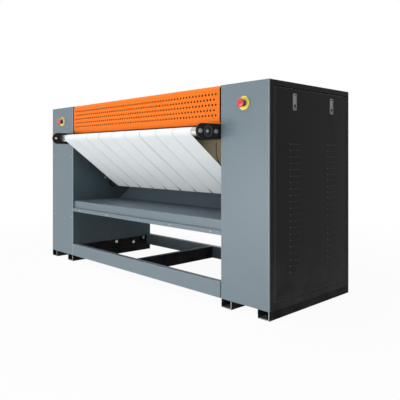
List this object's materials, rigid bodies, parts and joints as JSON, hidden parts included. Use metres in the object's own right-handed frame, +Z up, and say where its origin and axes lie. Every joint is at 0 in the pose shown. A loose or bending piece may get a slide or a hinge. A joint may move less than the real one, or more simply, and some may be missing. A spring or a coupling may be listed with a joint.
{
  "type": "flatwork ironer",
  "caption": "Floor-standing flatwork ironer with louvred end cabinets, perforated hood, ribbon feed table, heated cylinder with ironing belt and a return tray.",
  "frame": {"origin": "on the floor under the middle of the overall box", "axes": "+X to the operator's right along the rollers, operator side at -Y, +Z up"},
  "size_m": [2.738, 1.125, 1.45],
  "materials": {
    "body_paint": "satin powder coat, blue grey",
    "frame_paint": "satin powder coat, charcoal",
    "wall_paint": "satin powder coat, dark blue grey",
    "hood_paint": "satin powder coat, orange",
    "black_metal": "matt black coat",
    "bearing_iron": "matt black, bare machined bore",
    "roller_steel": "ground steel",
    "cylinder_steel": "polished steel",
    "ribbon_fabric": "woven white polyester ribbon",
    "belt_fabric": "needled aramid felt, cream",
    "board": "pressed fibre board, tan",
    "bolt_zinc": "bright zinc plate",
    "latch_chrome": "satin chrome plate",
    "stop_yellow": "gloss yellow",
    "stop_red": "gloss red",
    "stem_plastic": "matt dark grey",
    "cable_rubber": "dark rubber sheath",
    "drive_rubber": "black rubber",
    "pulley_iron": "turned iron",
    "motor_paint": "blue grey enamel",
    "box_paint": "light grey powder coat"
  },
  "bodies": {
    "root": {"base_side_rails": "frame_paint", "bearings": "bearing_iron", "cabinet_floors": "frame_paint", "cabinet_rear_cover_left": "body_paint", "cabinet_rear_cover_right": "body_paint", "cabinet_top_cover_left": "body_paint", "cabinet_top_cover_right": "body_paint", "centre_beam": "frame_paint", "control_box": "box_paint", "cover_screws": "bolt_zinc", "drive_belt": "drive_rubber", "feed_bracket_left": "black_metal", "feed_bracket_right": "black_metal", "feed_ribbons": "ribbon_fabric", "foot_rails_left": "frame_paint", "foot_rails_right": "frame_paint", "frame_bolts": "bolt_zinc", "front_beam": "body_paint", "front_cover_left": "body_paint", "front_cover_right": "body_paint", "front_hood": "hood_paint", "gearmotor": "motor_paint", "heat_shield": "board", "heater_core": "roller_steel", "inner_wall_left": "wall_paint", "inner_wall_right": "wall_paint", "ironing_belt": "belt_fabric", "rear_beam": "wall_paint", "rear_cover": "body_paint", "return_chute": "body_paint", "sensor_cable": "cable_rubber", "side_frame_left": "frame_paint", "side_frame_right": "frame_paint", "stop_base_left": "stop_yellow", "stop_base_right": "stop_yellow", "top_cover": "body_paint", "tray": "body_paint"},
    "cylinder": {"heated_cylinder": "cylinder_steel", "cylinder_pulley": "pulley_iron"},
    "motor_wheel": {"motor_pulley": "pulley_iron"},
    "front_feed_roller": {"front_feed_roller": "roller_steel"},
    "lower_feed_roller": {"lower_feed_roller": "roller_steel"},
    "transfer_roller": {"transfer_roller": "roller_steel"},
    "entry_roller": {"entry_roller": "roller_steel"},
    "exit_roller": {"exit_roller": "roller_steel"},
    "rear_upper_roller": {"rear_upper_roller": "roller_steel"},
    "rear_lower_roller": {"rear_lower_roller": "roller_steel"},
    "panel_left": {"side_panel_left": "frame_paint", "latch_housings_left": "latch_chrome"},
    "lever_front_left": {"latch_lever_front_left": "latch_chrome"},
    "lever_rear_left": {"latch_lever_rear_left": "latch_chrome"},
    "stop_plunger_left": {"stop_stem_left": "stem_plastic"},
    "stop_knob_left": {"stop_head_left": "stop_red"},
    "panel_right": {"side_panel_right": "frame_paint", "latch_housings_right": "latch_chrome"},
    "lever_front_right": {"latch_lever_front_right": "latch_chrome"},
    "lever_rear_right": {"latch_lever_rear_right": "latch_chrome"},
    "stop_plunger_right": {"stop_stem_right": "stem_plastic"},
    "stop_knob_right": {"stop_head_right": "stop_red"},
    "guard": {"finger_guard": "black_metal"}
  },
  "joints": [
    {"name": "cylinder_spin", "type": "hinge", "parent": "root", "child": "cylinder", "pos_m": [0, 0.2675, 1.09], "axis": [-1, 0, 0], "continuous": true},
    {"name": "motor_spin", "type": "hinge", "parent": "root", "child": "motor_wheel", "pos_m": [0, 0.1475, 0.52], "axis": [-1, 0, 0], "continuous": true},
    {"name": "front_feed_roller_spin", "type": "hinge", "parent": "root", "child": "front_feed_roller", "pos_m": [0, -0.4645, 1.147], "axis": [-1, 0, 0], "continuous": true},
    {"name": "lower_feed_roller_spin", "type": "hinge", "parent": "root", "child": "lower_feed_roller", "pos_m": [0, 0.0895, 0.725], "axis": [-1, 0, 0], "continuous": true},
    {"name": "transfer_roller_spin", "type": "hinge", "parent": "root", "child": "transfer_roller", "pos_m": [0, -0.00959, 1.147], "axis": [-1, 0, 0], "continuous": true},
    {"name": "entry_roller_spin", "type": "hinge", "parent": "root", "child": "entry_roller", "pos_m": [0, 0.04998, 1.17788], "axis": [-1, 0, 0], "continuous": true},
    {"name": "exit_roller_spin", "type": "hinge", "parent": "root", "child": "exit_roller", "pos_m": [0, 0.24705, 0.85629], "axis": [-1, 0, 0], "continuous": true},
    {"name": "rear_upper_roller_spin", "type": "hinge", "parent": "root", "child": "rear_upper_roller", "pos_m": [0, 0.4595, 1.4], "axis": [-1, 0, 0], "continuous": true},
    {"name": "rear_lower_roller_spin", "type": "hinge", "parent": "root", "child": "rear_lower_roller", "pos_m": [0, 0.4595, 0.86], "axis": [-1, 0, 0], "continuous": true},
    {"name": "panel_left_tilt", "type": "hinge", "parent": "root", "child": "panel_left", "pos_m": [-1.363, 0.105, 0.0933], "axis": [0, -1, 0], "range_deg": [0, 15]},
    {"name": "lever_front_left_pull", "type": "hinge", "parent": "panel_left", "child": "lever_front_left", "pos_m": [-1.359, -0.0955, 1.3655], "axis": [0, 1, 0], "range_deg": [0, 45], "stiffness_Nm_per_rad": 0.1},
    {"name": "lever_rear_left_pull", "type": "hinge", "parent": "panel_left", "child": "lever_rear_left", "pos_m": [-1.359, 0.3335, 1.3655], "axis": [0, 1, 0], "range_deg": [0, 45], "stiffness_Nm_per_rad": 0.1},
    {"name": "stop_left_press", "type": "slide", "parent": "root", "child": "stop_plunger_left", "axis": [0, 1, 0], "range_m": [0, 0.005]},
    {"name": "stop_left_twist", "type": "hinge", "parent": "stop_plunger_left", "child": "stop_knob_left", "pos_m": [-1.164, -0.37, 1.318], "axis": [0, 1, 0], "range_deg": [0, 30], "stiffness_Nm_per_rad": 0.05},
    {"name": "panel_right_tilt", "type": "hinge", "parent": "root", "child": "panel_right", "pos_m": [1.363, 0.105, 0.0933], "axis": [0, 1, 0], "range_deg": [0, 15]},
    {"name": "lever_front_right_pull", "type": "hinge", "parent": "panel_right", "child": "lever_front_right", "pos_m": [1.359, -0.0955, 1.3655], "axis": [0, -1, 0], "range_deg": [0, 45], "stiffness_Nm_per_rad": 0.1},
    {"name": "lever_rear_right_pull", "type": "hinge", "parent": "panel_right", "child": "lever_rear_right", "pos_m": [1.359, 0.3335, 1.3655], "axis": [0, -1, 0], "range_deg": [0, 45], "stiffness_Nm_per_rad": 0.1},
    {"name": "stop_right_press", "type": "slide", "parent": "root", "child": "stop_plunger_right", "axis": [0, 1, 0], "range_m": [0, 0.005]},
    {"name": "stop_right_twist", "type": "hinge", "parent": "stop_plunger_right", "child": "stop_knob_right", "pos_m": [1.164, -0.37, 1.318], "axis": [0, 1, 0], "range_deg": [0, 30], "stiffness_Nm_per_rad": 0.05},
    {"name": "guard_swing", "type": "hinge", "parent": "root", "child": "guard", "pos_m": [0, -0.3035, 1.219], "axis": [1, 0, 0], "range_deg": [0, 15]}
  ],
  "couplings": [
    {"joint": "motor_spin", "follows": "cylinder_spin", "ratio": 3.0246},
    {"joint": "front_feed_roller_spin", "follows": "cylinder_spin", "ratio": 6.4633},
    {"joint": "lower_feed_roller_spin", "follows": "cylinder_spin", "ratio": 6.4633},
    {"joint": "transfer_roller_spin", "follows": "cylinder_spin", "ratio": 6.4633},
    {"joint": "entry_roller_spin", "follows": "cylinder_spin", "ratio": -6.2632},
    {"joint": "exit_roller_spin", "follows": "cylinder_spin", "ratio": -6.2632},
    {"joint": "rear_upper_roller_spin", "follows": "cylinder_spin", "ratio": -6.2632},
    {"joint": "rear_lower_roller_spin", "follows": "cylinder_spin", "ratio": -6.2632}
  ]
}
